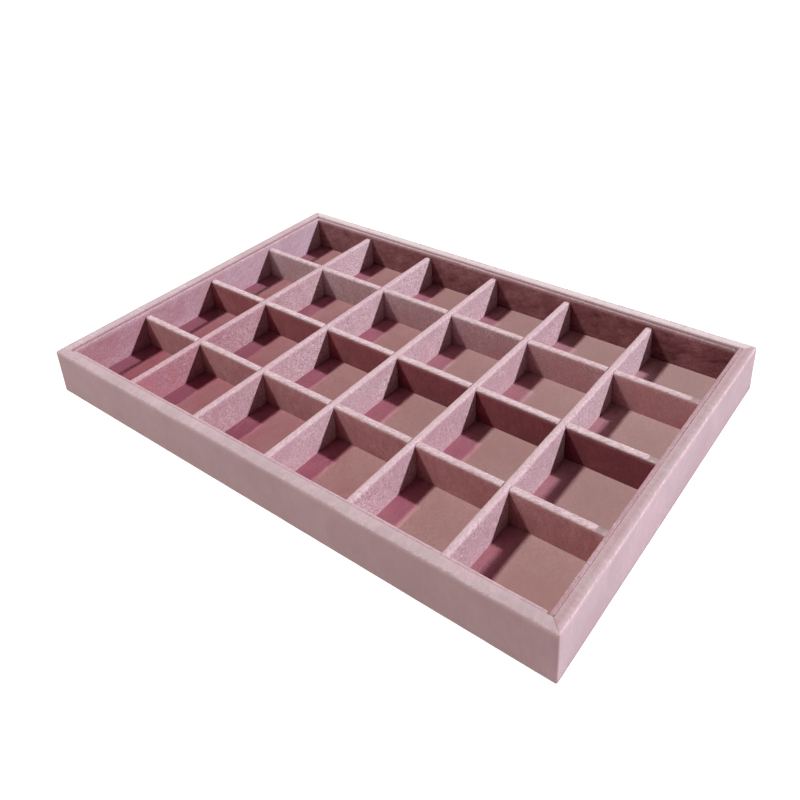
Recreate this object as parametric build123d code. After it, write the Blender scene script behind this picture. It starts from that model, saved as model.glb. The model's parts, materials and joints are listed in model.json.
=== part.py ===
# Velvet-lined jewelry tray: a mitred frame, a lined floor and an egg-crate grid of
# half-lapped dividers, each board in its own folded velvet sleeve.
# Millimetres, +X along the long side, +Y to the back, +Z up.
# The origin is at the centre of the underside.

import os

from build123d import *

# Overall size of the covered tray
tray_length = 350.0
tray_width = 240.0
tray_height = 30.0

# Velvet, with its pile
velvet = 0.7

# Frame rails, mitred at the corners
rail_board = 4.8

# The velvet strip round the frame
turn_in = 12.0
under_fold = 14.0
corner_radius = 1.2
rim_outer_radius = 1.1
rim_inner_radius = 0.9
foot_radius = 0.6

# Base panel, let into a rebate in the rails
panel_thickness = 2.5
rebate_depth = 2.0
panel_fit = 0.1

# Felt underside lining, which stands a little proud of the under-fold
lining_felt = 1.0
lining_fit = 0.2

# Lined floor
floor_card = 0.5
floor_fit = 0.1

# Liners inside the rails
liner_card = 0.8
liner_fit = 0.1
liner_drop = 1.2
liner_return = 8.0
liner_radius = 1.0

# Divider grid
columns = 6
rows = 4
divider_board = 3.2
divider_drop = 3.7
divider_fit = 0.1
slot_fit = 0.1
sleeve_radius = 1.6
board_radius = 0.7

# How far every cut runs past the piece that it cuts
overrun = 5.0

# Levels above the table
rail_bottom = lining_felt
fold_bottom = rail_bottom - velvet
rail_top = tray_height - velvet
turn_in_level = tray_height - turn_in
panel_top = rail_bottom + panel_thickness
card_top = panel_top + floor_card
floor_top = card_top + velvet
liner_top = tray_height - liner_drop
divider_top = tray_height - divider_drop
lap_level = (floor_top + divider_top) / 2

# Plan sizes, from the outside inwards
rail_outer_length = tray_length - 2 * velvet
rail_outer_width = tray_width - 2 * velvet
rail_inner_length = rail_outer_length - 2 * rail_board
rail_inner_width = rail_outer_width - 2 * rail_board
rim_inner_length = rail_inner_length - 2 * velvet
rim_inner_width = rail_inner_width - 2 * velvet
liner_thickness = liner_card + 2 * velvet
liner_outer_length = rim_inner_length - 2 * liner_fit
liner_outer_width = rim_inner_width - 2 * liner_fit
well_length = liner_outer_length - 2 * liner_thickness
well_width = liner_outer_width - 2 * liner_thickness

# The grid is set out evenly between the bare rails
column_pitch = rail_inner_length / columns
row_pitch = rail_inner_width / rows
short_places = [(number - columns / 2) * column_pitch for number in range(1, columns)]
long_places = [(number - rows / 2) * row_pitch for number in range(1, rows)]
divider_thickness = divider_board + 2 * velvet
slot_width = divider_thickness + 2 * slot_fit

pieces = {}


def block(length, width, bottom, top):
    """An upright block centred on the Z axis, between two levels."""
    return Pos(0, 0, (bottom + top) / 2) * Box(length, width, top - bottom)


def strip(length, thickness, bottom, top, radius):
    """A board on edge along X, with both of its top edges rounded."""
    board = block(length, thickness, bottom, top)
    top_edges = board.faces().sort_by(Axis.Z)[-1].edges().filter_by(Axis.X)
    return fillet(top_edges, radius)


def make_frame_rails():
    """A ring of board with a rebate round its lower inside, mitred into four rails."""
    ring = block(rail_outer_length, rail_outer_width, rail_bottom, rail_top)
    ring -= block(rail_inner_length, rail_inner_width, rail_bottom - overrun, rail_top + overrun)
    rebate_length = rail_inner_length + 2 * rebate_depth
    rebate_width = rail_inner_width + 2 * rebate_depth
    ring -= block(rebate_length, rebate_width, rail_bottom - overrun, panel_top)
    sides = {
        "front": (rail_outer_length, rail_outer_width, 0),
        "right": (rail_outer_width, rail_outer_length, 90),
        "back": (rail_outer_length, rail_outer_width, 180),
        "left": (rail_outer_width, rail_outer_length, 270),
    }
    reach = rail_board + overrun
    for side, (along, across, turn) in sides.items():
        # The wedge's ends run in from the corners at 45 degrees
        wedge_outline = Polyline(
            (-along / 2 - overrun, -across / 2 - overrun),
            (along / 2 + overrun, -across / 2 - overrun),
            (along / 2 - reach, -across / 2 + reach),
            (-along / 2 + reach, -across / 2 + reach),
            close=True,
        )
        wedge = extrude(make_face(wedge_outline), tray_height)
        pieces["frame_rail_" + side] = ring & (Rot(0, 0, turn) * wedge)


def make_frame_wrap():
    """The velvet strip: under-fold, outer face, rim and inner turn-in."""
    wrap = block(tray_length, tray_width, fold_bottom, tray_height)
    wrap = fillet(wrap.edges().filter_by(Axis.Z), corner_radius)
    wrap = fillet(wrap.faces().sort_by(Axis.Z)[-1].edges(), rim_outer_radius)
    wrap = fillet(wrap.faces().sort_by(Axis.Z)[0].edges(), foot_radius)
    wrap -= block(rim_inner_length, rim_inner_width, turn_in_level, tray_height)
    rim = wrap.faces().sort_by(Axis.Z)[-1]
    wrap = fillet(rim.inner_wires()[0].edges(), rim_inner_radius)
    # The channel for the rails, the hollow below the turn-in, and the open underside
    channel = block(rail_outer_length, rail_outer_width, rail_bottom, rail_top)
    channel -= block(rail_inner_length, rail_inner_width, rail_bottom, rail_top)
    wrap -= channel
    wrap -= block(rail_inner_length, rail_inner_width, rail_bottom, turn_in_level)
    open_length = tray_length - 2 * under_fold
    open_width = tray_width - 2 * under_fold
    wrap -= block(open_length, open_width, fold_bottom - overrun, rail_bottom)
    pieces["frame_wrap"] = wrap


def make_base():
    """The base panel in its rebate, the underside lining and the lined floor."""
    panel_length = rail_inner_length + 2 * (rebate_depth - panel_fit)
    panel_width = rail_inner_width + 2 * (rebate_depth - panel_fit)
    pieces["base_panel"] = block(panel_length, panel_width, rail_bottom, panel_top)
    lining_length = tray_length - 2 * (under_fold + lining_fit)
    lining_width = tray_width - 2 * (under_fold + lining_fit)
    pieces["base_lining"] = block(lining_length, lining_width, 0, rail_bottom)
    floor_length = rail_inner_length - 2 * floor_fit
    floor_width = rail_inner_width - 2 * floor_fit
    pieces["floor_card"] = block(floor_length, floor_width, panel_top, card_top)
    pieces["floor_velvet"] = block(floor_length, floor_width, card_top, floor_top)


def make_liners():
    """Four lining cards on edge, each with velvet folded over its top.

    The left and right liners run the full width, and the front and back ones fit
    between them."""
    cross_length = well_length - 2 * liner_fit
    cross_place = (well_width + liner_thickness) / 2
    end_place = (well_length + liner_thickness) / 2
    sides = {
        "front": (cross_length, cross_place, 0),
        "right": (liner_outer_width, end_place, 90),
        "back": (cross_length, cross_place, 180),
        "left": (liner_outer_width, end_place, 270),
    }
    for side, (length, place, turn) in sides.items():
        velvet_fold = strip(length, liner_thickness, floor_top, liner_top, liner_radius)
        card = block(length, liner_card, floor_top, liner_top - velvet)
        velvet_fold -= card
        # Below its return the card's back is bare
        bare_back = block(length, velvet, floor_top, liner_top - liner_return)
        velvet_fold -= Pos(0, -(liner_card + velvet) / 2, 0) * bare_back
        seat = Rot(0, 0, turn) * Pos(0, -place, 0)
        pieces["liner_card_" + side] = seat * card
        pieces["liner_velvet_" + side] = seat * velvet_fold


def make_divider(kind, number, length, crossings, slot_bottom, slot_top, seat):
    """One board and its sleeve, slotted together where other dividers cross."""
    board = strip(length, divider_board, floor_top, divider_top - velvet, board_radius)
    sleeve = strip(length, divider_thickness, floor_top, divider_top, sleeve_radius)
    sleeve -= board
    for crossing in crossings:
        slot = block(slot_width, divider_thickness + overrun, slot_bottom, slot_top)
        slot = Pos(crossing, 0, 0) * slot
        board -= slot
        sleeve -= slot
    pieces["%s_divider_board_%d" % (kind, number)] = seat * board
    pieces["%s_divider_sleeve_%d" % (kind, number)] = seat * sleeve


def make_grid():
    """Long dividers slotted from above, with short ones slotted from below over them."""
    long_length = well_length - 2 * divider_fit
    short_length = well_width - 2 * divider_fit
    for number, place in enumerate(long_places, 1):
        bottom = lap_level - slot_fit
        top = divider_top + overrun
        make_divider("long", number, long_length, short_places, bottom, top, Pos(0, place, 0))
    for number, place in enumerate(short_places, 1):
        bottom = floor_top - overrun
        top = lap_level + slot_fit
        seat = Pos(place, 0, 0) * Rot(0, 0, 90)
        make_divider("short", number, short_length, long_places, bottom, top, seat)


make_frame_rails()
make_frame_wrap()
make_base()
make_liners()
make_grid()

os.makedirs("parts", exist_ok=True)
for node, piece in pieces.items():
    export_step(piece, "parts/%s.step" % node)
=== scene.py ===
# A velvet-covered jewelry tray with an egg-crate of half-lapped dividers.
# Lengths are in metres. The long side runs along X and the back is towards +Y.

import json
import math

import bpy
import numpy as np
from mathutils import Matrix, Vector

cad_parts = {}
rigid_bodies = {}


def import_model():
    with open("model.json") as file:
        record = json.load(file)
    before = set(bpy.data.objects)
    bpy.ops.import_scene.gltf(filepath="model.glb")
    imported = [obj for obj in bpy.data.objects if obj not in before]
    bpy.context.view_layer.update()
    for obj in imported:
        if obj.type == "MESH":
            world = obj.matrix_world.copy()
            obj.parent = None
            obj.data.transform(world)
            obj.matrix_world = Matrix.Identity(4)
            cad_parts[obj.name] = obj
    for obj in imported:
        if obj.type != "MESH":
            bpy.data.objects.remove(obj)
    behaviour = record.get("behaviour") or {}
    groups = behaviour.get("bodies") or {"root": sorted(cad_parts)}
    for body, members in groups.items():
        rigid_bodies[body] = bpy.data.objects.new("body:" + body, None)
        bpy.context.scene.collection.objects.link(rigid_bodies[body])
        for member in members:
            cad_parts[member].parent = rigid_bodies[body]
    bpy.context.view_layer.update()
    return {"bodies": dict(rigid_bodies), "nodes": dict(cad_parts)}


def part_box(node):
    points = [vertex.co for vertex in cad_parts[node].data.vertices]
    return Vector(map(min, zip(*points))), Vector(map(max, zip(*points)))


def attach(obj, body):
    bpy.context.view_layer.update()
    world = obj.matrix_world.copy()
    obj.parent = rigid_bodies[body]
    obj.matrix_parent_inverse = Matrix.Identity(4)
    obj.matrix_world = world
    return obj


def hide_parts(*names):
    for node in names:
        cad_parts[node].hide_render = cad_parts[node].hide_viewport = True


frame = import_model()
mm = 0.001
body = next(iter(frame["bodies"]))


# Node trees


class Signal:  # a socket of a node tree, with the usual operators
    def __init__(self, web, socket):
        self.web = web
        self.socket = socket

    def out(self, name):  # another output of the same node
        return Signal(self.web, self.socket.node.outputs[name])

    def math(self, operation, *values):
        sockets = dict(enumerate(values))
        return self.web.node("ShaderNodeMath", {"operation": operation}, sockets)

    def __add__(self, other):
        return self.math("ADD", self, other)

    __radd__ = __add__

    def __sub__(self, other):
        return self.math("SUBTRACT", self, other)

    def __rsub__(self, other):
        return self.math("SUBTRACT", other, self)

    def __mul__(self, other):
        return self.math("MULTIPLY", self, other)

    __rmul__ = __mul__

    def __truediv__(self, other):
        return self.math("DIVIDE", self, other)

    def __rtruediv__(self, other):
        return self.math("DIVIDE", other, self)

    def __lt__(self, other):
        return self.math("LESS_THAN", self, other)

    def __gt__(self, other):
        return self.math("GREATER_THAN", self, other)

    def __abs__(self):
        return self.math("ABSOLUTE", self)

    def floor(self):
        return self.math("FLOOR", self)

    def nearest(self):
        return self.math("ROUND", self)

    def smallest(self, other):
        return self.math("MINIMUM", self, other)

    def largest(self, other):
        return self.math("MAXIMUM", self, other)

    def sine(self):
        return self.math("SINE", self)

    def ramped(self, start, end):  # 0 up to start and 1 past end, with soft ends
        settings = {"interpolation_type": "SMOOTHSTEP"}
        sockets = {"Value": self, "From Min": start, "From Max": end}
        return self.web.node("ShaderNodeMapRange", settings, sockets)


class Web:  # a node tree being built
    def __init__(self, tree):
        self.tree = tree

    def node(self, kind, settings=None, sockets=None):
        made = self.tree.nodes.new(kind)
        for name, value in (settings or {}).items():
            setattr(made, name, value)
        shown = [socket for socket in made.inputs if socket.enabled]
        for name, value in (sockets or {}).items():
            if isinstance(name, int):
                socket = shown[name]
            else:
                socket = next(socket for socket in shown if socket.name == name)
            if isinstance(value, Signal):
                self.tree.links.new(value.socket, socket)
            else:
                socket.default_value = value
        outputs = [socket for socket in made.outputs if socket.enabled]
        return Signal(self, outputs[0]) if outputs else made

    def vector(self, x=0.0, y=0.0, z=0.0):
        return self.node("ShaderNodeCombineXYZ", None, {"X": x, "Y": y, "Z": z})

    def parts(self, vector):  # the X, Y and Z of a vector
        split = self.node("ShaderNodeSeparateXYZ", None, {0: vector})
        return split, split.out("Y"), split.out("Z")

    def places(self):  # where a point lies on its piece
        return self.parts(self.node("ShaderNodeTexCoord").out("Object"))

    def noise(self, place, detail=2.0, roughness=0.5, distortion=0.0):
        sockets = {"Vector": place, "Scale": 1.0, "Detail": detail}
        sockets.update({"Roughness": roughness, "Distortion": distortion})
        return self.node("ShaderNodeTexNoise", None, sockets)

    def mixed(self, share, first, second):
        settings = {"data_type": "RGBA"}
        return self.node("ShaderNodeMix", settings, {"Factor": share, "A": first, "B": second})

    def scaled(self, vector, factor):
        sockets = {"Vector": vector, "Scale": factor}
        return self.node("ShaderNodeVectorMath", {"operation": "SCALE"}, sockets)

    def ramp(self, share, stops):  # a colour for each share, straight between the stops
        made = self.node("ShaderNodeValToRGB", None, {0: share})
        elements = made.socket.node.color_ramp.elements
        while len(elements) < len(stops):
            elements.new(0.5)
        for element, (place, colour) in zip(elements, stops):
            element.position = place
            element.color = (*colour, 1.0)
        return made


def geometryWeb(name, inputs):
    # A geometry tree with named inputs, its web, and the inputs as signals
    tree = bpy.data.node_groups.new(name, "GeometryNodeTree")
    tree.interface.new_socket(name="Geometry", in_out="OUTPUT", socket_type="NodeSocketGeometry")
    for label, kind in {"Geometry": "Geometry", **inputs}.items():
        tree.interface.new_socket(name=label, in_out="INPUT", socket_type="NodeSocket" + kind)
    web = Web(tree)
    given = web.node("NodeGroupInput")
    return web, {label: given.out(label) for label in ["Geometry", *inputs]}


def finishTree(web, geometry, material):
    realized = web.node("GeometryNodeRealizeInstances", None, {"Geometry": geometry})
    covered = web.node("GeometryNodeSetMaterial", None, {"Geometry": realized, "Material": material})
    web.node("NodeGroupOutput", None, {"Geometry": covered})
    return web.tree


def addTree(piece, tree, values):
    # Inputs are set by identifier before the piece is first evaluated
    modifier = piece.modifiers.new(tree.name, "NODES")
    modifier.node_group = tree
    for item in tree.interface.items_tree:
        if item.in_out == "INPUT" and item.name in values:
            modifier[item.identifier] = values[item.name]


foldShape = {
    "sinkHeight": 5 * mm,  # a top that sinks does so over this height
    "freeReach": 18 * mm,  # how far from a crossing the cloth bows freely
    "bowRate": 22.0,  # bows in a metre
    "bowShare": 4.0,  # of the bow that a sheet is given
    "rippleRate": 90.0,
    "rippleShare": 1.2,
}


def makeFoldTree():
    # Sweeps a fold line along X as a sheet, cuts the slots where other dividers
    # cross, rounds it off at its free ends, and lets it bow and lean a little.
    # An input that isn't given is 0, and a sheet with no slot width has no slots
    shape = foldShape
    wholes = ("Runs", "Run Steps", "Slot Steps")
    sizes = (
        "Length", "Pitch", "Crest", "Foot", "Slot Width", "Slot From", "Slot To", "Slot Shoulder",
        "End Reach", "End Drop", "Bow", "Lean Start", "Lean End", "Streaks", "Seed",
    )
    inputs = {**dict.fromkeys(wholes, "Int"), **dict.fromkeys(sizes, "Float")}
    inputs["Material"] = "Material"
    web, given = geometryWeb("foldedVelvet", inputs)
    line = given["Geometry"]
    length, pitch, slotWidth = given["Length"], given["Pitch"], given["Slot Width"]
    runs, runSteps, slotSteps = given["Runs"], given["Run Steps"], given["Slot Steps"]

    # A grid with a column for each step along X and a row for each point of the line.
    # The 0.001 keeps a whole number from falling short before it is rounded down
    rows = web.node("GeometryNodeAttributeDomainSize", None, {"Geometry": line})
    cellSteps = runSteps + slotSteps
    columns = runs * cellSteps - slotSteps + 1.0
    grid = web.node("GeometryNodeMeshGrid", None, {"Vertices X": columns, "Vertices Y": rows})
    index = web.node("GeometryNodeInputIndex")
    column = (index / rows + 0.001).floor()
    row = index - column * rows

    # Columns stand at even steps between the slots, and on the slots' edges
    cell = (column / cellSteps + 0.001).floor()
    local = column - cell * cellSteps
    inRun = local.smallest(runSteps) / runSteps * (pitch - slotWidth)
    inSlot = (local - runSteps).largest(0.0) / slotSteps.largest(1.0) * slotWidth
    first = runs * pitch * -0.5 + slotWidth * 0.5
    along = first + cell * pitch + inRun + inSlot
    along = along.smallest(length * 0.5).largest(length * -0.5)

    def fromLine(kind, name=None):  # the fold line's own value for this row
        if name is None:
            value = web.node("GeometryNodeInputPosition")
        else:
            value = web.node("GeometryNodeInputNamedAttribute", {"data_type": kind}, {"Name": name})
        sockets = {"Geometry": line, "Value": value, "Index": row}
        return web.node("GeometryNodeSampleIndex", {"data_type": kind, "domain": "POINT"}, sockets)

    _, lineY, lineZ = web.parts(fromLine("FLOAT_VECTOR"))
    spot = web.vector(along, lineY, lineZ)
    stored = web.node("GeometryNodeSetPosition", None, {"Geometry": grid, "Position": spot})

    # What the material reads: the place on the flat cloth, the fold and the nap
    seed = given["Seed"]
    clothSpot = web.vector(along + seed * 0.37, fromLine("FLOAT", "girth") + seed * 0.11)
    settings = {"data_type": "FLOAT_VECTOR", "domain": "POINT"}
    clothSpot = web.node("GeometryNodeFieldOnDomain", settings, {"Value": clothSpot})
    for name, kind, value in (
        ("clothMap", "FLOAT2", clothSpot),
        ("crown", "FLOAT", fromLine("FLOAT", "crown")),
        ("streaks", "FLOAT", given["Streaks"]),
        ("nap", "FLOAT", fromLine("FLOAT", "nap") + along / length * fromLine("FLOAT", "drift")),
    ):
        domain = "CORNER" if kind == "FLOAT2" else "POINT"
        settings = {"data_type": kind, "domain": domain}
        sockets = {"Geometry": stored, "Name": name, "Value": value}
        stored = web.node("GeometryNodeStoreNamedAttribute", settings, sockets)

    # The slots
    x, _, z = web.parts(web.node("GeometryNodeInputPosition"))
    crossings = x / pitch + runs * 0.5
    toCrossing = abs(crossings - crossings.nearest()) * pitch
    inReach = (toCrossing < slotWidth * 0.5) * (z > given["Slot From"]) * (z < given["Slot To"])
    inside = inReach * (abs(x) < length * 0.5 - slotWidth)
    settings = {"domain": "FACE", "mode": "ALL"}
    sockets = {"Geometry": stored, "Selection": inside}
    slotted = web.node("GeometryNodeDeleteGeometry", settings, sockets)

    # The top sinks at its free ends and beside slots that are cut from above, and
    # ripples a little. Each seed reads the noise at a place of its own
    height = (z - given["Foot"]) / (given["Crest"] - given["Foot"])
    nearTop = z.ramped(given["Crest"] - shape["sinkHeight"], given["Crest"])
    toEnd = length * 0.5 - abs(x)
    toShoulder = toCrossing - slotWidth * 0.5 + (1.0 - given["Slot Shoulder"])
    toFree = toEnd.smallest(toShoulder)
    drop = (1.0 - toFree.ramped(0.0, given["End Reach"])) * given["End Drop"] * nearTop
    wander = web.noise(web.vector(x * shape["rippleRate"] + seed * 7.3, seed * 3.1, 0.4))
    ripple = (wander - 0.5) * nearTop * given["Bow"] * shape["rippleShare"]

    # It bows between crossings, most at the top, and may lean from end to end
    free = toCrossing.ramped(slotWidth * 0.5, shape["freeReach"])
    sway = web.noise(web.vector(x * shape["bowRate"] + seed * 1.7, seed * 5.9, 4.3), 1.0)
    bow = (sway - 0.5) * shape["bowShare"] * given["Bow"] * free * height
    share = x / length + 0.5
    lean = (given["Lean Start"] * (1.0 - share) + given["Lean End"] * share) * height
    offset = web.vector(0.0, bow + lean, ripple - drop)
    shaped = web.node("GeometryNodeSetPosition", None, {"Geometry": slotted, "Offset": offset})
    return finishTree(web, shaped, given["Material"])


def makeReliefTree():
    # Pushes a sheet in and out along its normal, as glued cloth lies over board
    inputs = {"Height": "Float", "Wavelength": "Float", "Seed": "Float", "Material": "Material"}
    web, given = geometryWeb("clothRelief", inputs)
    place = web.scaled(web.node("GeometryNodeInputPosition"), 1.0 / given["Wavelength"])
    shift = web.vector(given["Seed"] * 3.7, given["Seed"])
    place = web.node("ShaderNodeVectorMath", {"operation": "ADD"}, {0: place, 1: shift})
    height = (web.noise(place) - 0.5) * 2.0 * given["Height"]
    push = web.scaled(web.node("GeometryNodeInputNormal"), height)
    moved = web.node("GeometryNodeSetPosition", None, {"Geometry": given["Geometry"], "Offset": push})
    return finishTree(web, moved, given["Material"])


# Finishes


def newFinish(name):
    material = bpy.data.materials.new(name)
    material.use_nodes = True
    material.node_tree.nodes.clear()
    return material, Web(material.node_tree)


def glowOf(web, look):  # one colour for the camera, and another for what it lights
    seen = web.node("ShaderNodeLightPath").out("Is Camera Ray")
    return web.mixed(seen, look["given"], look["shown"])


def closeFinish(web, sockets, height=None, depth=0.0):
    if height is not None:
        sockets["Normal"] = web.node("ShaderNodeBump", None, {"Distance": depth, "Height": height})
    shader = web.node("ShaderNodeBsdfPrincipled", None, sockets)
    web.node("ShaderNodeOutputMaterial", None, {"Surface": shader})


pileLook = {  # for a velvet whose own look says nothing else
    "tuft": 0.95 * mm,
    "brushSize": (3.2 * mm, 13 * mm),  # marks left by brushing, across and along
    "crossSlant": 0.5,  # a second set of them lies across the first
    "crossSize": (1.7, 0.8),  # width and length, in the first ones' sizes
    "patches": 3.2,  # how much the grain changes from cloud to cloud
    "calmNaps": (0.25, 0.9),  # naps between which calm lets go of the grain
    "crownCalm": 0.62,  # share of the grain that a fold hides
    "streakSize": (0.62 * mm, 3.4 * mm),  # runs of pile lying together on a fold
    "streakSlant": -0.28,
    "streakMiddle": 0.55,  # how open a fold's pile is on the whole
    "streakGrain": 0.0,  # added on folds to the grain and the brush marks
    "streakBrush": 0.0,
    "dull": (0.52, 0.37, 0.40, 1.0),  # pile opened by a fold, with painted highlight, in its dull and its bright runs
    "bright": (0.79, 0.665, 0.695, 1.0),
}
velvetLooks = {
    # Colours from looking into the pile to looking along it, then the contrast of the
    # marks. Calm is the share of the grain that is lost at a low nap
    "roseVelvet": {
        "naps": (
            (0.0, (0.05, 0.012, 0.022)), (0.12, (0.22, 0.10, 0.11)),
            (0.5, (0.37, 0.225, 0.235)), (0.73, (0.46, 0.325, 0.34)),
            (0.81, (0.462, 0.385, 0.398)), (0.88, (0.558, 0.425, 0.446)),
            (0.94, (0.56, 0.50, 0.51)), (1.0, (0.73, 0.68, 0.68)),
        ),
        "grain": 0.24,
        "calm": 0.6,
        "brush": 0.12,
        "streakGrain": 0.8,
        "streakBrush": 0.34,
        "cloud": 0.12,
        "cloudSize": 34 * mm,
        "streak": 2.2,
        "pileDepth": 0.12 * mm,
    },
    "roseVelvetLiner": {
        "naps": (
            (0.0, (0.05, 0.01, 0.016)), (0.1, (0.17, 0.036, 0.044)),
            (0.45, (0.38, 0.175, 0.19)), (0.65, (0.42, 0.245, 0.28)),
            (1.0, (0.53, 0.44, 0.48)),
        ),
        "grain": 1.10,
        "calm": -0.6,
        "brush": 0.30,
        "brushSize": (8 * mm, 4.5 * mm),
        "cloud": 0.22,
        "cloudSize": 19 * mm,
        "streak": 1.8,
        "pileDepth": 0.22 * mm,
    },
    "roseVelvetDivider": {
        "naps": (
            (0.0, (0.14, 0.008, 0.018)), (0.2, (0.27, 0.04, 0.052)),
            (0.45, (0.43, 0.185, 0.192)), (0.60, (0.41, 0.225, 0.25)),
            (0.75, (0.46, 0.312, 0.33)), (1.0, (0.575, 0.48, 0.497)),
        ),
        "grain": 2.35,
        "calm": 0.55,
        "brush": 0.20,
        "cloud": 0.14,
        "cloudSize": 24 * mm,
        "streak": 2.9,
        "pileDepth": 0.25 * mm,
    },
    "roseVelvetFloor": {
        "naps": (
            (0.0, (0.33, 0.075, 0.12)), (0.15, (0.455, 0.145, 0.195)),
            (0.5, (0.53, 0.30, 0.305)), (1.0, (0.60, 0.43, 0.44)),
        ),
        "grain": 0.95,
        "calm": 0.6,
        "brush": 0.16,
        "cloud": 0.18,
        "cloudSize": 34 * mm,
        "streak": 0.0,
        "pileDepth": 0.20 * mm,
        "rib": 0.8 * mm,
        "ribWaver": 2.5,
        "ribWaverSize": (9 * mm, 30 * mm),
        "ribGlint": 0.12,
        "ribDepth": 0.4,  # share of the pile's height
        "halfColumns": 3,  # compartments from the middle to a side
        "wallHalf": 2.3 * mm,  # half a divider
        "paintedStripWidth": 12.5 * mm,  # painted shade: a deeper strip beside each left wall, where the side light is shadowed and only the key light falls
        "paintedStripEdge": 1.5 * mm,
        "paintedStripWaver": 4 * mm,
        "paintedStripNap": 0.30,
        "drifts": (0.28, 0.20),  # painted shade: the floor is darker towards the front and the left
    },
}


def makeVelvet(name, pitch=0.0):
    # Given a pitch, it is ribbed and has painted shade: a deeper strip beside the left wall of each
    # compartment, where only the key light falls, and a darkening towards the front and the left
    look = {**pileLook, **velvetLooks[name]}
    material, web = newFinish(name)
    u, v, _ = web.parts(web.node("ShaderNodeUVMap", {"uv_map": "clothMap"}))

    def read(label):  # a value stored on the cloth
        return web.node("ShaderNodeAttribute", {"attribute_name": label}).out("Fac")

    def marks(across, along, width, length, level, detail, distortion, roughness=0.55):
        place = web.vector(across / width, along / length, level)
        return web.noise(place, detail, roughness, distortion)

    # Each kind of mark reads the noise at a level of its own
    nap, crown, streaks = read("nap"), read("crown"), read("streaks")
    grain = marks(u, v, look["tuft"], look["tuft"], 0.37, 3.0, 0.4, 0.7)
    width, length = look["brushSize"]
    brush = marks(u, v, width, length, 3.61, 3.0, 1.2)
    slant = look["crossSlant"]
    wider, longer = look["crossSize"]
    crossed = marks(u + v * slant, v - u * slant, width * wider, length * longer, 9.43, 3.0, 1.5)
    slant = look["streakSlant"]
    width, length = look["streakSize"]
    streak = marks(v + u * slant, u - v * slant, width, length, 5.29, 2.0, 0.3)
    cloud = marks(u, v, look["cloudSize"], look["cloudSize"], 7.73, 2.0, 0.8)
    brushed = streaks * look["streakBrush"] + look["brush"]
    tone = nap + (brush + crossed - 1.0) * brushed + (cloud - 0.5) * (look["cloud"] * 2.0)
    patches = (cloud - 0.5) * look["patches"] + 1.0
    shown = (streaks * look["streakGrain"] + look["grain"]) * patches
    shown = shown * (1.0 - crown * look["crownCalm"])
    shown = shown * (1.0 - (1.0 - nap.ramped(*look["calmNaps"])) * look["calm"])
    glint = (grain - 0.5) * shown + 1.0
    height = grain
    if pitch:
        waver = marks(u, v, *look["ribWaverSize"], 1.31, 2.0, 0.0)
        rib = (u / look["rib"] * math.tau + waver * look["ribWaver"]).sine() * 0.5 + 0.5
        # Painted shade: a deeper strip with a wavering edge beside each left wall, where the side
        # light is shadowed and only the key light falls
        cell = u / pitch + look["halfColumns"]
        fromWall = (cell - cell.floor()) * pitch - look["wallHalf"]
        fromWall = fromWall + (brush - 0.5) * look["paintedStripWaver"]
        width, edge = look["paintedStripWidth"], look["paintedStripEdge"]
        turned = 1.0 - fromWall.ramped(width - edge, width + edge)
        # Painted shade: the floor darkens towards the front and the left
        toRight, toBack = look["drifts"]
        drift = (u * toRight + v * toBack) / (look["halfColumns"] * pitch)
        tone = tone - turned * look["paintedStripNap"] + drift
        glint = glint + (rib - 0.5) * look["ribGlint"]
        height = grain * (1.0 - look["ribDepth"]) + rib * look["ribDepth"]
    colour = web.ramp(tone, look["naps"])
    # Folds take the colour of opened pile, which is partly painted highlight
    run = (streak - 0.5) * streaks * look["streak"] + look["streakMiddle"]
    run = run.smallest(1.0).largest(0.0)
    colour = web.mixed(crown, colour, web.mixed(run, look["dull"], look["bright"]))
    sockets = {
        "Base Color": web.scaled(colour, glint),
        "Roughness": 0.92 - (grain - 0.5) * 0.2,
        "Specular IOR Level": 0.10,
        "Sheen Weight": 0.5,
        "Sheen Roughness": 0.5,
        "Sheen Tint": (1.0, 0.86, 0.91, 1.0),
    }
    closeFinish(web, sockets, height, look["pileDepth"])
    return material


feltLook = {
    "base": (0.30, 0.17, 0.18, 1.0),
    "light": (0.43, 0.27, 0.28, 1.0),
    "fibre": 0.5 * mm,
    "stretch": 6,  # a fibre's length, in its widths
    "cloudRate": 40.0,  # clouds in a metre
    "cloud": 0.25,
    "depth": 0.2 * mm,
}


def makeFelt():
    look = feltLook
    material, web = newFinish("roseFelt")
    x, y, z = web.places()
    width, length = look["fibre"], look["fibre"] * look["stretch"]
    across = web.noise(web.vector(x / width, y / length, z / width + 0.4), 3.0, 0.6)
    along = web.noise(web.vector(x / length, y / width, z / width + 8.3), 3.0, 0.6)
    matted = (across + along) * 0.5
    cloud = web.noise(web.vector(x * look["cloudRate"], y * look["cloudRate"], 0.7))
    share = (matted + (cloud - 0.5) * look["cloud"]).ramped(0.3, 0.7)
    sockets = {
        "Base Color": web.mixed(share, look["base"], look["light"]),
        "Roughness": 0.95 - matted * 0.1,
        "Specular IOR Level": 0.15,
        "Sheen Weight": 0.25,
        "Sheen Roughness": 0.6,
    }
    closeFinish(web, sockets, matted, look["depth"])
    return material


# Sheets and folds


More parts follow.
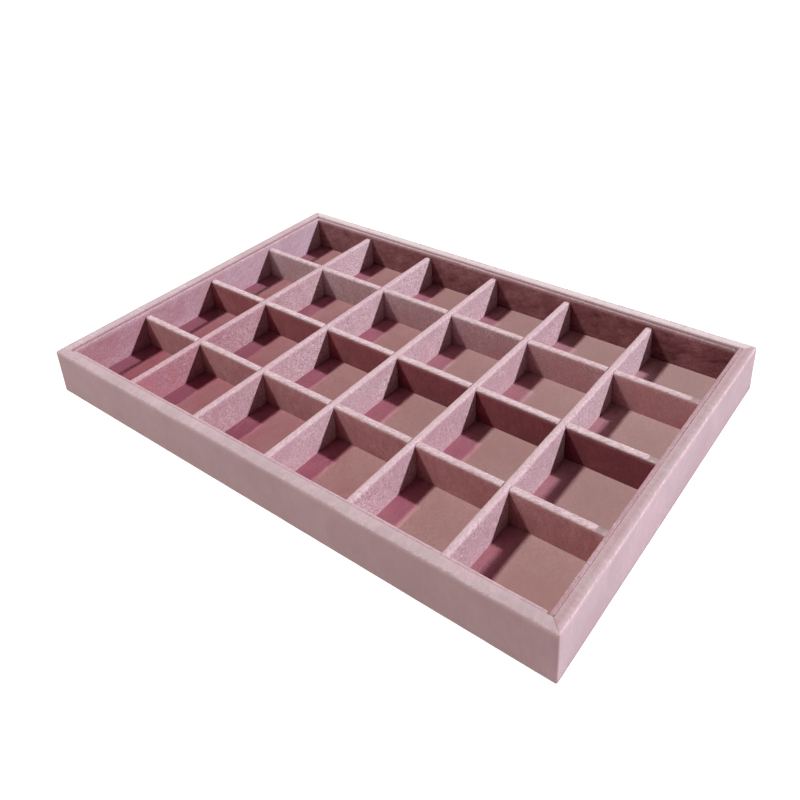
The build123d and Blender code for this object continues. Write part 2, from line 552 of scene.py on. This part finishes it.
def foldLine(corners, radii, step):
    # Points along a line through corners, rounded by radii, no further apart than
    # step. Gives the points, the length along the line, and the rounded corners' places
    corners = [np.array(corner, float) for corner in corners]
    arcSteps = 6
    spots = [corners[0]]
    bends = []
    for before, corner, after, radius in zip(corners, corners[1:], corners[2:], radii[1:]):
        into = (corner - before) / np.linalg.norm(corner - before)
        away = (after - corner) / np.linalg.norm(after - corner)
        turn = math.acos(max(-1.0, min(1.0, float(into @ away))))
        if radius <= 0 or turn < 0.01:
            spots.append(corner)
            continue
        start = corner - into * (radius * math.tan(turn / 2))
        inward = away - into * float(into @ away)
        centre = start + inward / np.linalg.norm(inward) * radius
        for number in range(arcSteps + 1):
            angle = turn * number / arcSteps
            spot = centre + (start - centre) * math.cos(angle) + into * radius * math.sin(angle)
            spots.append(spot)
        bends.append(len(spots) - 1 - arcSteps // 2)
    spots.append(corners[-1])
    points, girths, bendGirths = [spots[0]], [0.0], []
    for number, (start, end) in enumerate(zip(spots, spots[1:])):
        gap = float(np.linalg.norm(end - start))
        cuts = max(1, round(gap / step))
        for cut in range(1, cuts + 1):
            points.append(start + (end - start) * cut / cuts)
            girths.append(girths[-1] + gap / cuts)
        if number + 1 in bends:
            bendGirths.append(girths[-1])
    return np.array(points), np.array(girths), bendGirths


def softStep(places, middle, width):  # 0 before a place and 1 past it
    return 1 / (1 + np.exp(-(places - middle) / width))


closeFolds = 6 * mm  # folds nearer than this share one crown


def crownOf(girths, bends, reach):
    # 1 on a fold, falling to 0 a little way from it, and 1 between two close folds
    crown = np.zeros(len(girths))
    for bend in bends:
        crown = np.maximum(crown, np.exp(-(((girths - bend) / reach) ** 2)))
    if len(bends) == 2 and abs(bends[1] - bends[0]) < closeFolds:
        between = (girths > min(bends)) & (girths < max(bends))
        crown[between] = 1.0
    return crown


def storeValues(mesh, values):
    for label, numbers in values.items():
        mesh.attributes.new(label, "FLOAT", "POINT").data.foreach_set("value", numbers)


def lineMesh(name, points, values):
    mesh = bpy.data.meshes.new(name)
    links = [(number, number + 1) for number in range(len(points) - 1)]
    mesh.from_pydata([(0.0, y, z) for y, z in points], links, [])
    storeValues(mesh, values)
    return mesh


def gridFaces(columns, rows, closed=False):
    # Faces between columns of vertices, and back to the first one where it is closed
    faces = []
    for column in range(columns if closed else columns - 1):
        after = (column + 1) % columns
        for row in range(rows - 1):
            a, b = column * rows + row, after * rows + row
            faces.append((a, b, b + 1, a + 1))
    return faces


def clothMesh(name, vertices, faces, flat, values):
    # flat holds a place on the flat cloth for each corner of each face
    mesh = bpy.data.meshes.new(name)
    mesh.from_pydata(vertices, [], faces)
    mesh.uv_layers.new(name="clothMap").data.foreach_set("uv", flat.ravel())
    storeValues(mesh, values)
    return mesh


def newPiece(name, data):
    piece = bpy.data.objects.new(name, data)
    bpy.context.scene.collection.objects.link(piece)
    return piece


def dressDraft(draft, look, seed, finish, thickness):
    # The relief of glued cloth, and the cloth's own thickness
    values = {"Height": look["relief"], "Wavelength": look["reliefWave"]}
    addTree(draft, reliefTree, {**values, "Seed": seed, "Material": finish})
    wall = draft.modifiers.new("wall", "SOLIDIFY")
    wall.thickness = thickness
    wall.offset = 0.0
    wall.use_even_offset = True


def bakedPiece(name, draft, seat=Matrix(), sharp=48.0):
    # Turns a draft and its modifiers into a plain mesh in place, and drops the draft
    bpy.context.view_layer.update()
    graph = bpy.context.evaluated_depsgraph_get()
    mesh = bpy.data.meshes.new_from_object(draft.evaluated_get(graph), depsgraph=graph)
    bpy.data.objects.remove(draft)
    mesh.name = name
    mesh.transform(seat)
    mesh.polygons.foreach_set("use_smooth", [True] * len(mesh.polygons))
    mesh.set_sharp_from_angle(angle=math.radians(sharp))
    if mesh.uv_layers:
        mesh.uv_layers.active_index = 0
    return newPiece(name, mesh)


def foldDraft(name, points, lineValues, look, inputs):
    # Sweeps a fold line into a sheet, with its relief and thickness
    draft = newPiece("draft", lineMesh(name, points, lineValues))
    addTree(draft, foldTree, {**inputs, "End Reach": look["endReach"], "Bow": look["bow"]})
    dressDraft(draft, look, inputs["Seed"], inputs["Material"], velvet)
    return draft


def seatOf(node, turn):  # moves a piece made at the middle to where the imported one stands
    low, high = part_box(node)
    middle = (low + high) / 2
    turned = Matrix.Rotation(math.radians(turn), 4, "Z")
    return Matrix.Translation((middle.x, middle.y, 0.0)) @ turned


def spanOf(node, alongX):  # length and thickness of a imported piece
    low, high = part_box(node)
    x, y = high.x - low.x, high.y - low.y
    return (x, y) if alongX else (y, x)


def pitchOf(kind):  # distance from one divider of a kind to the next
    axis = 1 if kind == "long" else 0
    boxes = [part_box("%s_divider_sleeve_%d" % (kind, number)) for number in (1, 2)]
    middles = [(low + high) / 2 for low, high in boxes]
    return middles[1][axis] - middles[0][axis]


foldTree = makeFoldTree()
reliefTree = makeReliefTree()
wrapVelvet = makeVelvet("roseVelvet")
linerVelvet = makeVelvet("roseVelvetLiner")
dividerVelvet = makeVelvet("roseVelvetDivider")
floorVelvet = makeVelvet("roseVelvetFloor", pitchOf("short"))
felt = makeFelt()
print("finishes ready")

# The cloth's thickness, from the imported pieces, and each side's turn from the front one
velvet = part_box("frame_wrap")[1].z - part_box("frame_rail_front")[1].z
turns = {"front": 0, "right": 90, "back": 180, "left": 270}


def forSides(*values):  # for the front, right, back and left, in this order
    return dict(zip(turns, values))


# Dividers

dividerLook = {
    "step": 1.9 * mm,  # mesh size
    "slotSteps": 3,
    "foldRadius": 1.05 * mm,  # half way through the cloth
    "crownReach": 0.6 * mm,
    "napBlend": 0.8 * mm,  # one face's nap changes to the other's over this
    "slotFit": 0.1 * mm,
    "overcut": 5 * mm,  # slots run past the cloth by this
    "bow": 0.16 * mm,
    "endReach": 1.7 * mm,
    "endDrops": {"long": 0.15 * mm, "short": 0.75 * mm},
    "relief": 0.07 * mm,
    "reliefWave": 7 * mm,
    "seeds": {"long": 0.5, "short": 20.0},
    # Nap of the front or right face, of the other, and the first one's drift along the fold
    "naps": {
        "long": {1: (0.38, 0.66, 0.02), 2: (0.09, 0.62, -0.20), 3: (0.62, 0.66, -0.32)},
        # The short ones' first naps grow from left to right as painted light, and their drift darkens
        # the front ends, most on the left, as painted shade
        "short": {
            1: (0.78, 0.40, 0.58),
            2: (0.90, 0.40, 0.22),
            3: (0.92, 0.40, 0.06),
            4: (0.87, 0.40, 0.08),
            5: (0.94, 0.40, 0.18),
        },
    },
    "crowns": {
        "long": {1: 0.90, 2: 1.0, 3: 0.90},
        # The short ones' crowns grow from left to right as painted light
        "short": {1: 0.58, 2: 0.70, 3: 0.82, 4: 0.84, 5: 0.84},
    },
    "streaks": {"long": 1.0, "short": 0.45},
}


def makeSleeve(kind, number):
    look = dividerLook
    node = "%s_divider_sleeve_%d" % (kind, number)
    alongX = kind == "long"
    fromAbove = alongX  # long boards are slotted from above, short ones from below
    other = "short" if alongX else "long"
    low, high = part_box(node)
    length, thick = spanOf(node, alongX)
    half = (thick - velvet) / 2
    crest = high.z - velvet / 2
    runs = len(look["naps"][other]) + 1
    pitch = pitchOf(other)
    slotWidth = spanOf(other + "_divider_sleeve_1", not alongX)[1] + 2 * look["slotFit"]
    lap = (low.z + high.z) / 2
    level = lap - look["slotFit"] if fromAbove else lap + look["slotFit"]
    # Up one face and down the other. Turned to run along Y, the first is towards +X
    corners = [(-half, low.z), (-half, level), (-half, crest)]
    corners += [(half, crest), (half, level), (half, low.z)]
    fold = look["foldRadius"]
    points, girths, bends = foldLine(corners, [0, 0, fold, fold, 0], look["step"])
    girths, bends = girths - girths[-1] / 2, np.array(bends) - girths[-1] / 2
    firstNap, otherNap, drift = look["naps"][kind][number]
    side = softStep(girths, 0.0, look["napBlend"])
    lineValues = {
        "girth": girths,
        "crown": crownOf(girths, bends, look["crownReach"]) * look["crowns"][kind][number],
        "nap": firstNap * (1 - side) + otherNap * side,
        "drift": drift * (1 - side),
    }
    inputs = {
        "Length": length,
        "Runs": runs,
        "Run Steps": round((pitch - slotWidth) / look["step"]),
        "Slot Steps": look["slotSteps"],
        "Pitch": pitch,
        "Slot Width": slotWidth,
        "Slot From": level if fromAbove else low.z - look["overcut"],
        "Slot To": crest + look["overcut"] if fromAbove else level,
        "Crest": crest,
        "Foot": low.z,
        "End Drop": look["endDrops"][kind],
        "Slot Shoulder": 1.0 if fromAbove else 0.0,
        "Streaks": look["streaks"][kind],
        "Seed": number + look["seeds"][kind],
        "Material": dividerVelvet,
    }
    draft = foldDraft(node, points, lineValues, look, inputs)
    seat = seatOf(node, 0 if alongX else 90)
    sleeve = bakedPiece("%s_divider_velvet_%d" % (kind, number), draft, seat)
    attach(sleeve, body)
    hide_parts(node)
    board = "%s_divider_board_%d" % (kind, number)
    slots = (runs - 1) * slotWidth * (high.z - lap) * 2
    flat = (length, float(girths[-1] - girths[0]))
    flat[0] * flat[1] - slots


for kind, numbers in dividerLook["naps"].items():
    for number in numbers:
        makeSleeve(kind, number)
print("divider sleeves folded")


# Liners

linerLook = {
    "step": 1.9 * mm,
    "return": 8 * mm,  # cloth behind the card
    "foldRadii": forSides(0.3 * mm, 0.12 * mm, 0.4 * mm, 0.4 * mm),
    "crownReach": 0.9 * mm,
    "endReach": 1.6 * mm,
    "endDrop": 0.5 * mm,
    "bow": 0.18 * mm,
    "relief": 0.07 * mm,
    "reliefWave": 8 * mm,
    "crowns": forSides(0.7, 0.32, 0.34, 0.3),
    "rises": forSides(0.3 * mm, 1.1 * mm, 0.0, 0.0),
    # How far a side's two ends lean into the well
    "leans": forSides(
        (0.0, 0.0), (-0.13 * mm, -0.13 * mm), (0.62 * mm, 0.20 * mm), (0.50 * mm, 0.42 * mm)
    ),
    # Naps of the edge, the face towards the well, and the return, which is in the groove; where the
    # return's nap is lower, on the front and the left, it is painted shade in the groove
    "rimNaps": forSides(0.85, 0.56, 0.58, 0.85),
    "faceNaps": forSides(0.66, 0.50, 0.17, 0.82),
    "gapNaps": forSides(0.6, 0.90, 0.85, 0.30),
    # How the naps of the edge and the face drift from end to end
    "drifts": forSides((0.0, 0.0), (0.0, 0.0), (0.85, 0.06), (-0.1, -0.42)),
    "faceBlend": 0.6 * mm,
    "gapStart": 0.1 * mm,
    "gapBlend": 0.12 * mm,
    "firstSeed": 40.0,
}


def makeLiner(side):
    look = linerLook
    node = "liner_velvet_" + side
    low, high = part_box(node)
    length, thick = spanOf(node, side in ("front", "back"))
    half = (thick - velvet) / 2
    crest = high.z - velvet / 2 + look["rises"][side]
    # From the bare edge of the return, over the card, and down the face towards the well
    corners = [(-half, high.z - look["return"]), (-half, crest), (half, crest), (half, low.z)]
    fold = look["foldRadii"][side]
    points, girths, bends = foldLine(corners, [0, fold, fold, 0], look["step"])
    onFace = softStep(girths, bends[1], look["faceBlend"])
    inGap = 1 - softStep(girths, bends[0] + look["gapStart"], look["gapBlend"])
    nap = look["rimNaps"][side] * (1 - onFace) + look["faceNaps"][side] * onFace
    driftOfRim, driftOfFace = look["drifts"][side]
    lineValues = {
        "girth": girths,
        "crown": crownOf(girths, bends[1:], look["crownReach"]) * look["crowns"][side],
        # The return's lower nap on the front and the left is painted shade in the groove
        "nap": nap + (look["gapNaps"][side] - nap) * inGap,
        "drift": driftOfRim * (1 - onFace) + driftOfFace * onFace,
    }
    leanStart, leanEnd = look["leans"][side]
    inputs = {
        "Length": length,
        "Runs": 1,
        "Run Steps": round(length / look["step"]),
        "Pitch": length,
        "Crest": crest,
        "Foot": low.z,
        "End Drop": look["endDrop"],
        "Lean Start": leanStart,
        "Lean End": leanEnd,
        "Streaks": 1.0,
        "Seed": look["firstSeed"] + turns[side] / 30,
        "Material": linerVelvet,
    }
    draft = foldDraft(node, points, lineValues, look, inputs)
    liner = bakedPiece("liner_fold_" + side, draft, seatOf(node, turns[side]))
    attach(liner, body)
    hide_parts(node)


for side in turns:
    makeLiner(side)
print("liners folded")


# The strip round the frame

wrapLook = {
    "step": 2.2 * mm,
    "endStep": 0.25 * mm,  # first step beside a mitre, and how the next ones grow
    "endGrowth": 1.45,
    "turnIn": 12 * mm,
    "underFold": 14 * mm,
    "linerFit": 0.1 * mm,
    "foldRadii": (0.3 * mm, 0.65 * mm, 0.20 * mm),  # foot, outer rim, inner rim
    "grooveRows": (0.7 * mm, 1.1 * mm),  # depths of extra rows beside the liner
    "cornerRadius": 0.55 * mm,
    "leastRadius": 0.12 * mm,
    "arcSteps": 5,
    "creaseDepth": 0.32 * mm,  # the groove along each mitre
    "creaseWidth": 0.45 * mm,
    "lapHeight": 0.22 * mm,  # how far one side's cloth laps over at a mitre
    "lapReach": 5 * mm,
    "outerShare": 0.35,  # share of the groove and the lap at the rim's outer fold
    "shapeStart": 0.9 * mm,  # past this from the face that share grows to 1
    "shapeReach": 1.0 * mm,
    "topReach": 1.2 * mm,  # how far down the faces the rim's shape goes
    "wave": 0.42 * mm,  # the rim's fold wanders by this
    "waves": ((11 * mm, 0.45), (5.3 * mm, 0.25), (29 * mm, 0.5)),  # lengths and shares
    "waveShares": (0.35, 0.5),  # sideways and down
    "waveEase": 8 * mm,  # it dies out over this beside a mitre
    "waveSeed": 7,
    "relief": 0.09 * mm,
    "reliefWave": 9 * mm,
    "seed": 3.0,
    # Naps of the outer faces, the rim, and the part that stands against the liners, which is lower on
    # the back and the left as painted shade in the groove
    "faceNaps": forSides(0.43, 0.81, 0.60, 0.66),
    "rimNaps": forSides(0.86, 0.75, 1.04, 0.915),
    "rimSlopes": forSides(0.10, 0.22, 0.0, 0.03),  # darker inwards
    "gapNaps": forSides(0.84, 0.84, 0.88, 0.68),
    "underNap": 0.40,
    "rimBlend": 0.35 * mm,
    "underBlend": 0.5 * mm,
    "gapStart": 0.1 * mm,
    "gapBlend": 0.15 * mm,
    "creaseShade": 0.5,  # painted shade: how much darker the groove's inner half is
    "creaseStart": 2.2 * mm,
    "creaseReach": 1.5 * mm,
    # Opened pile and painted highlight on the two folds, the rim between them and the corners; the
    # strongest is on the right side's outer fold, a painted highlight where the key light grazes the
    # rounding
    "crownReach": 0.5 * mm,
    "edgeCrowns": forSides(0.5, 1.0, 0.4, 0.4),
    "innerCrowns": forSides(0.3, 0.4, 0.8, 0.3),
    "rimCrowns": forSides(0.0, 0.0, 0.2, 0.1),
    "rimCrownReach": 1.1 * mm,  # it grows over this from the inner fold
    "cornerCrown": 0.22,
    "rimStreaks": forSides(0.1, 0.45, 0.35, 0.3),
}


def hump(distance, width):
    return math.exp(-((distance / width) ** 2))


def grown(distance, reach):  # 0 up to 0, and 1 from reach on
    return min(1.0, max(0.0, distance / reach))


def sidePlaces(length):
    # Places along a side from 0 to 1, closer together beside the mitres
    near, step, gap = [0.0], wrapLook["step"], wrapLook["endStep"]
    while gap < step:
        near.append(near[-1] + gap)
        gap *= wrapLook["endGrowth"]
    inner = length - 2 * near[-1]
    count = max(1, round(inner / step))
    evenly = [near[-1] + inner * number / count for number in range(1, count)]
    far = [length - place for place in reversed(near)]
    return [place / length for place in near + evenly + far]


def wrapMarks(side, share, inset, rimInner, crease, atCorner):
    # The crown, nap and streaks of one point. share says how far it is on each part
    look = wrapLook
    edge = share["outerFold"] * look["edgeCrowns"][side]
    inner = share["innerFold"] * look["innerCrowns"][side]
    corner = look["cornerCrown"] if atCorner else 0.0
    top = look["rimCrowns"][side] * share["rim"] * grown(rimInner - inset, look["rimCrownReach"])
    inwards = (inset - rimInner / 2) / rimInner
    rim = look["rimNaps"][side] - look["rimSlopes"][side] * inwards
    nap = look["faceNaps"][side] * (1 - share["rim"]) + rim * share["rim"]
    nap = nap * (1 - share["under"]) + look["underNap"] * share["under"]
    # Painted shade in the groove along each mitre
    creaseShadeShare = crease * share["rim"] * grown(inset - look["creaseStart"], look["creaseReach"])
    nap -= creaseShadeShare * look["creaseShade"]
    # Painted shade: the part against the liners is darker on the back and the left
    nap += (look["gapNaps"][side] - nap) * share["gap"]
    streaks = max(share["rim"] * look["rimStreaks"][side], share["outerFold"])
    return max(edge, inner, corner, top), nap, streaks


def makeWrap():
    look = wrapLook
    low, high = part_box("frame_wrap")
    halfLength, halfWidth = (high.x - low.x) / 2, (high.y - low.y) / 2
    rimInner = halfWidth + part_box("liner_velvet_front")[0].y - look["linerFit"]
    skin = velvet / 2
    foot, crest = low.z + skin, high.z - skin
    corners = [(look["underFold"], foot), (skin, foot), (skin, crest), (rimInner - skin, crest)]
    corners += [(rimInner - skin, crest - depth) for depth in look["grooveRows"]]
    corners.append((rimInner - skin, high.z - look["turnIn"]))
    points, girths, bends = foldLine(corners, [0, *look["foldRadii"], 0, 0], look["step"])
    shares = {
        "outerFold": crownOf(girths, bends[1:2], look["crownReach"]),
        "innerFold": crownOf(girths, bends[2:], look["crownReach"]),
        "rim": softStep(girths, bends[1], look["rimBlend"]),
        "under": 1 - softStep(girths, bends[0], look["underBlend"]),
        "gap": softStep(girths, bends[2] + look["gapStart"], look["gapBlend"]),
    }
    shares = [dict(zip(shares, row)) for row in zip(*shares.values())]
    rng = np.random.default_rng(look["waveSeed"])
    vertices, maps, marks = [], [], []
    distance = 0.0
    for side, turn in turns.items():
        onEnds = side in ("left", "right")
        halfAlong, halfAcross = (halfWidth, halfLength) if onEnds else (halfLength, halfWidth)
        phases = rng.uniform(0, math.tau, 4)  # one more than there are waves
        turned = Matrix.Rotation(math.radians(turn), 3, "Z")
        # Columns along the side, then round the corner to the next one
        arcSteps = look["arcSteps"]
        columns = [("run", place) for place in sidePlaces(2 * halfAlong)]
        columns += [("arc", number / arcSteps) for number in range(1, arcSteps)]
        for kind, place in columns:
            fromEnd = (1 - abs(2 * place - 1)) * halfAlong if kind == "run" else 0.0
            crease = hump(fromEnd, look["creaseWidth"])
            # Cloth of the front and back sides laps over
            lap = 0.0 if onEnds else math.exp(-fromEnd / look["lapReach"]) * look["lapHeight"]
            run = place * halfAlong * 2
            pairs = zip(look["waves"], phases)
            waves = sum(math.sin(run / wave + phase) * part for (wave, part), phase in pairs)
            sway = waves * look["wave"] * grown(fromEnd, look["waveEase"])
            for row, (inset, z) in enumerate(points):
                radius = max(look["cornerRadius"] - (inset - skin), look["leastRadius"])
                reach = halfAlong - inset - radius
                across = -(halfAcross - inset)
                if kind == "run":
                    along = reach * (2 * place - 1)
                else:
                    angle = place * math.pi / 2
                    along = reach + radius * math.sin(angle)
                    across += radius * (1 - math.cos(angle))
                onTop = hump(z - crest, look["topReach"]) if inset < rimInner else 0.0
                inRim = grown(inset - look["shapeStart"], look["shapeReach"])
                shape = look["outerShare"] + (1 - look["outerShare"]) * inRim
                rise = (lap - crease * look["creaseDepth"]) * onTop * shape
                aside, down = (sway * onTop * (1 - inRim) * part for part in look["waveShares"])
                vertices.append(turned @ Vector((along, across - aside, z + rise - down)))
                maps.append((distance + along + halfAlong, girths[row]))
                marks.append(wrapMarks(side, shares[row], inset, rimInner, crease, kind == "arc"))
        distance += 2 * halfAlong
    rows = len(points)
    count = len(vertices) // rows
    faces = gridFaces(count, rows, closed=True)
    # The last column's faces close the strip, so their far corners lie past its end
    flat = np.array(maps)[np.array(faces).ravel()]
    lastColumn = np.repeat(np.arange(len(faces)) >= (count - 1) * (rows - 1), 4)
    flat[lastColumn & (flat[:, 0] < halfLength), 0] += distance
    values = dict(zip(("crown", "nap", "streaks"), map(list, zip(*marks))))
    draft = newPiece("draft", clothMesh("wrap", vertices, faces, flat, values))
    dressDraft(draft, look, look["seed"], wrapVelvet, velvet)
    wrap = bakedPiece("frame_velvet_strip", draft)
    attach(wrap, body)
    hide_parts("frame_wrap")


makeWrap()
print("frame wrapped")


# Floor and underside

laidLook = {"step": 3.0 * mm, "reliefWave": 16 * mm, "seed": 5.0}
laidLooks = {
    "floor_velvet_sheet": {
        "node": "floor_velvet",
        "under": "floor_card",
        "slot": "floor_velvet",
        "finish": floorVelvet,
        "marks": {"crown": 0.0, "nap": 0.50},
        "relief": 0.05 * mm,
    },
    "base_felt_sheet": {
        "node": "base_lining",
        "under": "base_panel",
        "slot": "base_felt",
        "finish": felt,
        "marks": {},
        "relief": 0.06 * mm,
    },
}


def makeLaidSheet(name, look):
    low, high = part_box(look["node"])
    length, width = high.x - low.x, high.y - low.y
    columns, rows = round(length / look["step"]), round(width / look["step"])
    level = (low.z + high.z) / 2
    xs = np.linspace(low.x, high.x, columns + 1)
    ys = np.linspace(low.y, high.y, rows + 1)
    vertices = [(x, y, level) for x in xs for y in ys]
    faces = gridFaces(columns + 1, rows + 1)
    flat = np.array(vertices)[np.array(faces).ravel(), :2]
    values = {label: [value] * len(vertices) for label, value in look["marks"].items()}
    draft = newPiece("draft", clothMesh(name, vertices, faces, flat, values))
    thickness = high.z - low.z - 2 * look["relief"]
    dressDraft(draft, look, look["seed"], look["finish"], thickness)
    sheet = bakedPiece(name, draft)
    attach(sheet, body)
    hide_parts(look["node"])


for name, look in laidLooks.items():
    makeLaidSheet(name, {**laidLook, **look})
print("floor and underside laid")


# Boards and cards

boardLook = {
    "fleckSize": (5, 2),  # in fibres, along and through the board
    "fleckShare": 0.4,
    "layerShare": 0.06,
    "layerWaver": 4.0,
    "depth": 0.08 * mm,
}
boardLooks = {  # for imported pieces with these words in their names
    "frame_rail": {
        "finish": "railBoard", "fibre": 0.7 * mm, "layer": 0.45 * mm,
        "dark": (0.23, 0.15, 0.09, 1.0), "light": (0.40, 0.28, 0.18, 1.0),
    },
    "divider_board": {
        "finish": "dividerBoard", "fibre": 0.9 * mm,
        "dark": (0.20, 0.18, 0.16, 1.0), "light": (0.42, 0.39, 0.35, 1.0),
    },
    "base_panel": {
        "finish": "panelBoard", "fibre": 0.8 * mm,
        "dark": (0.24, 0.17, 0.11, 1.0), "light": (0.42, 0.31, 0.21, 1.0),
    },
    "card": {
        "finish": "liningCard", "fibre": 1.1 * mm,
        "dark": (0.24, 0.22, 0.20, 1.0), "light": (0.48, 0.45, 0.41, 1.0),
    },
}


def makeBoard(look):
    # Pressed board: short flat fibres, larger flecks and, on the rails, fine layers
    material, web = newFinish(look["finish"])
    x, y, z = web.places()
    fibre = look["fibre"]
    fibres = web.noise(web.vector(x / fibre, y / fibre, z / (fibre * 0.5)), 4.0, 0.65)
    length, height = (fibre * size for size in look["fleckSize"])
    flecks = web.noise(web.vector(x / length, y / length, z / height))
    share = fibres * (1.0 - look["fleckShare"]) + flecks * look["fleckShare"]
    if "layer" in look:
        waver = flecks * look["layerWaver"]
        share = share + (z / look["layer"] * math.tau + waver).sine() * look["layerShare"]
    sockets = {
        "Base Color": web.mixed(share.ramped(0.35, 0.65), look["dark"], look["light"]),
        "Roughness": 0.86 - (fibres - 0.5) * 0.2,
        "Specular IOR Level": 0.25,
    }
    closeFinish(web, sockets, fibres, look["depth"])
    return material


for key, look in boardLooks.items():
    finish = makeBoard({**boardLook, **look})
    for name, node in frame["nodes"].items():
        if key in name:
            node.data.materials.clear()
            node.data.materials.append(finish)
print("boards and cards finished")


# Floor, light and camera

stageLook = {
    "half": 6.0,
    "colour": (0.5, 0.5, 0.5, 1.0),
    "glow": 0.92,
    "given": (0.40, 0.40, 0.40, 1.0),
    "shown": (1.0, 1.0, 1.0, 1.0),
}


def makeStage():
    look = stageLook
    half = look["half"]
    mesh = bpy.data.meshes.new("stageFloor")
    corners = [(-half, -half, 0), (half, -half, 0), (half, half, 0), (-half, half, 0)]
    mesh.from_pydata(corners, [], [(0, 1, 2, 3)])
    floor = newPiece("stageFloor", mesh)
    material, web = newFinish("paleFloor")
    # It glows like a lit paper sweep, and lights the tray less than it shows
    sockets = {
        "Base Color": look["colour"],
        "Roughness": 0.9,
        "Emission Color": glowOf(web, look),
        "Emission Strength": look["glow"],
    }
    closeFinish(web, sockets)
    mesh.materials.append(material)


lightLook = {
    "key": {"place": (5.92, 2.432, 3.2), "size": 0.26, "power": 530.0, "colour": (0.98, 0.85, 0.95)},
    "side": {"place": (-4.37, -2.26, 7.54), "size": 0.9, "power": 545.0, "colour": (1.0, 0.98, 0.91)},
    "front": {"place": (-0.35, -2.0, 0.55), "size": 1.0, "power": 9.6, "colour": (1.0, 0.97, 0.95)},
}
backdropLook = {"given": (0.014, 0.0126, 0.0126, 1.0), "shown": (1.0, 1.0, 1.0, 1.0)}


def makeLights():
    for name, look in lightLook.items():
        data = bpy.data.lights.new(name, "AREA")
        data.shape = "DISK"
        data.size = look["size"]
        data.energy = look["power"]
        data.color = look["colour"]
        light = newPiece(name, data)
        light.location = look["place"]
        light.rotation_euler = (-light.location).to_track_quat("-Z", "Y").to_euler()


def makeBackdrop():
    world = bpy.data.worlds.new("studio")
    world.use_nodes = True
    world.node_tree.nodes.clear()
    web = Web(world.node_tree)
    # It shows white past the floor's far edge, and lights the tray only a little
    backdrop = web.node("ShaderNodeBackground", None, {"Color": glowOf(web, backdropLook)})
    web.node("ShaderNodeOutputWorld", None, {"Surface": backdrop})
    bpy.context.scene.world = world


cameraLook = {
    "place": (0.27557, -0.32985, 0.32208),
    "azimuth": 39.095,
    "elevation": 26.982,
    "roll": -2.992,
    "focalPixels": 854.38,
    "axisRow": 240.0,  # row of the picture that the lens points at
    "frameSide": 800,
    "sensor": 36.0,
}


def makeCamera():
    look = cameraLook
    angles = ("azimuth", "elevation", "roll")
    azimuth, elevation, roll = (math.radians(look[angle]) for angle in angles)
    forward = Vector((
        -math.sin(azimuth) * math.cos(elevation),
        math.cos(azimuth) * math.cos(elevation),
        -math.sin(elevation),
    ))
    level = Vector((math.cos(azimuth), math.sin(azimuth), 0.0))
    upright = level.cross(forward)
    right = level * math.cos(roll) + upright * math.sin(roll)
    up = upright * math.cos(roll) - level * math.sin(roll)
    data = bpy.data.cameras.new("camera")
    data.sensor_width = look["sensor"]
    data.lens = look["focalPixels"] / look["frameSide"] * look["sensor"]
    data.shift_y = (look["axisRow"] - (look["frameSide"] - 1) / 2) / look["frameSide"]
    data.clip_start = 0.01
    camera = newPiece("camera", data)
    turned = Matrix((right, up, -forward)).transposed().to_4x4()
    camera.matrix_world = Matrix.Translation(look["place"]) @ turned
    bpy.context.scene.camera = camera


makeStage()
makeLights()
makeBackdrop()
makeCamera()
bpy.context.scene.view_settings.view_transform = "Standard"
print("floor, lights and camera placed")
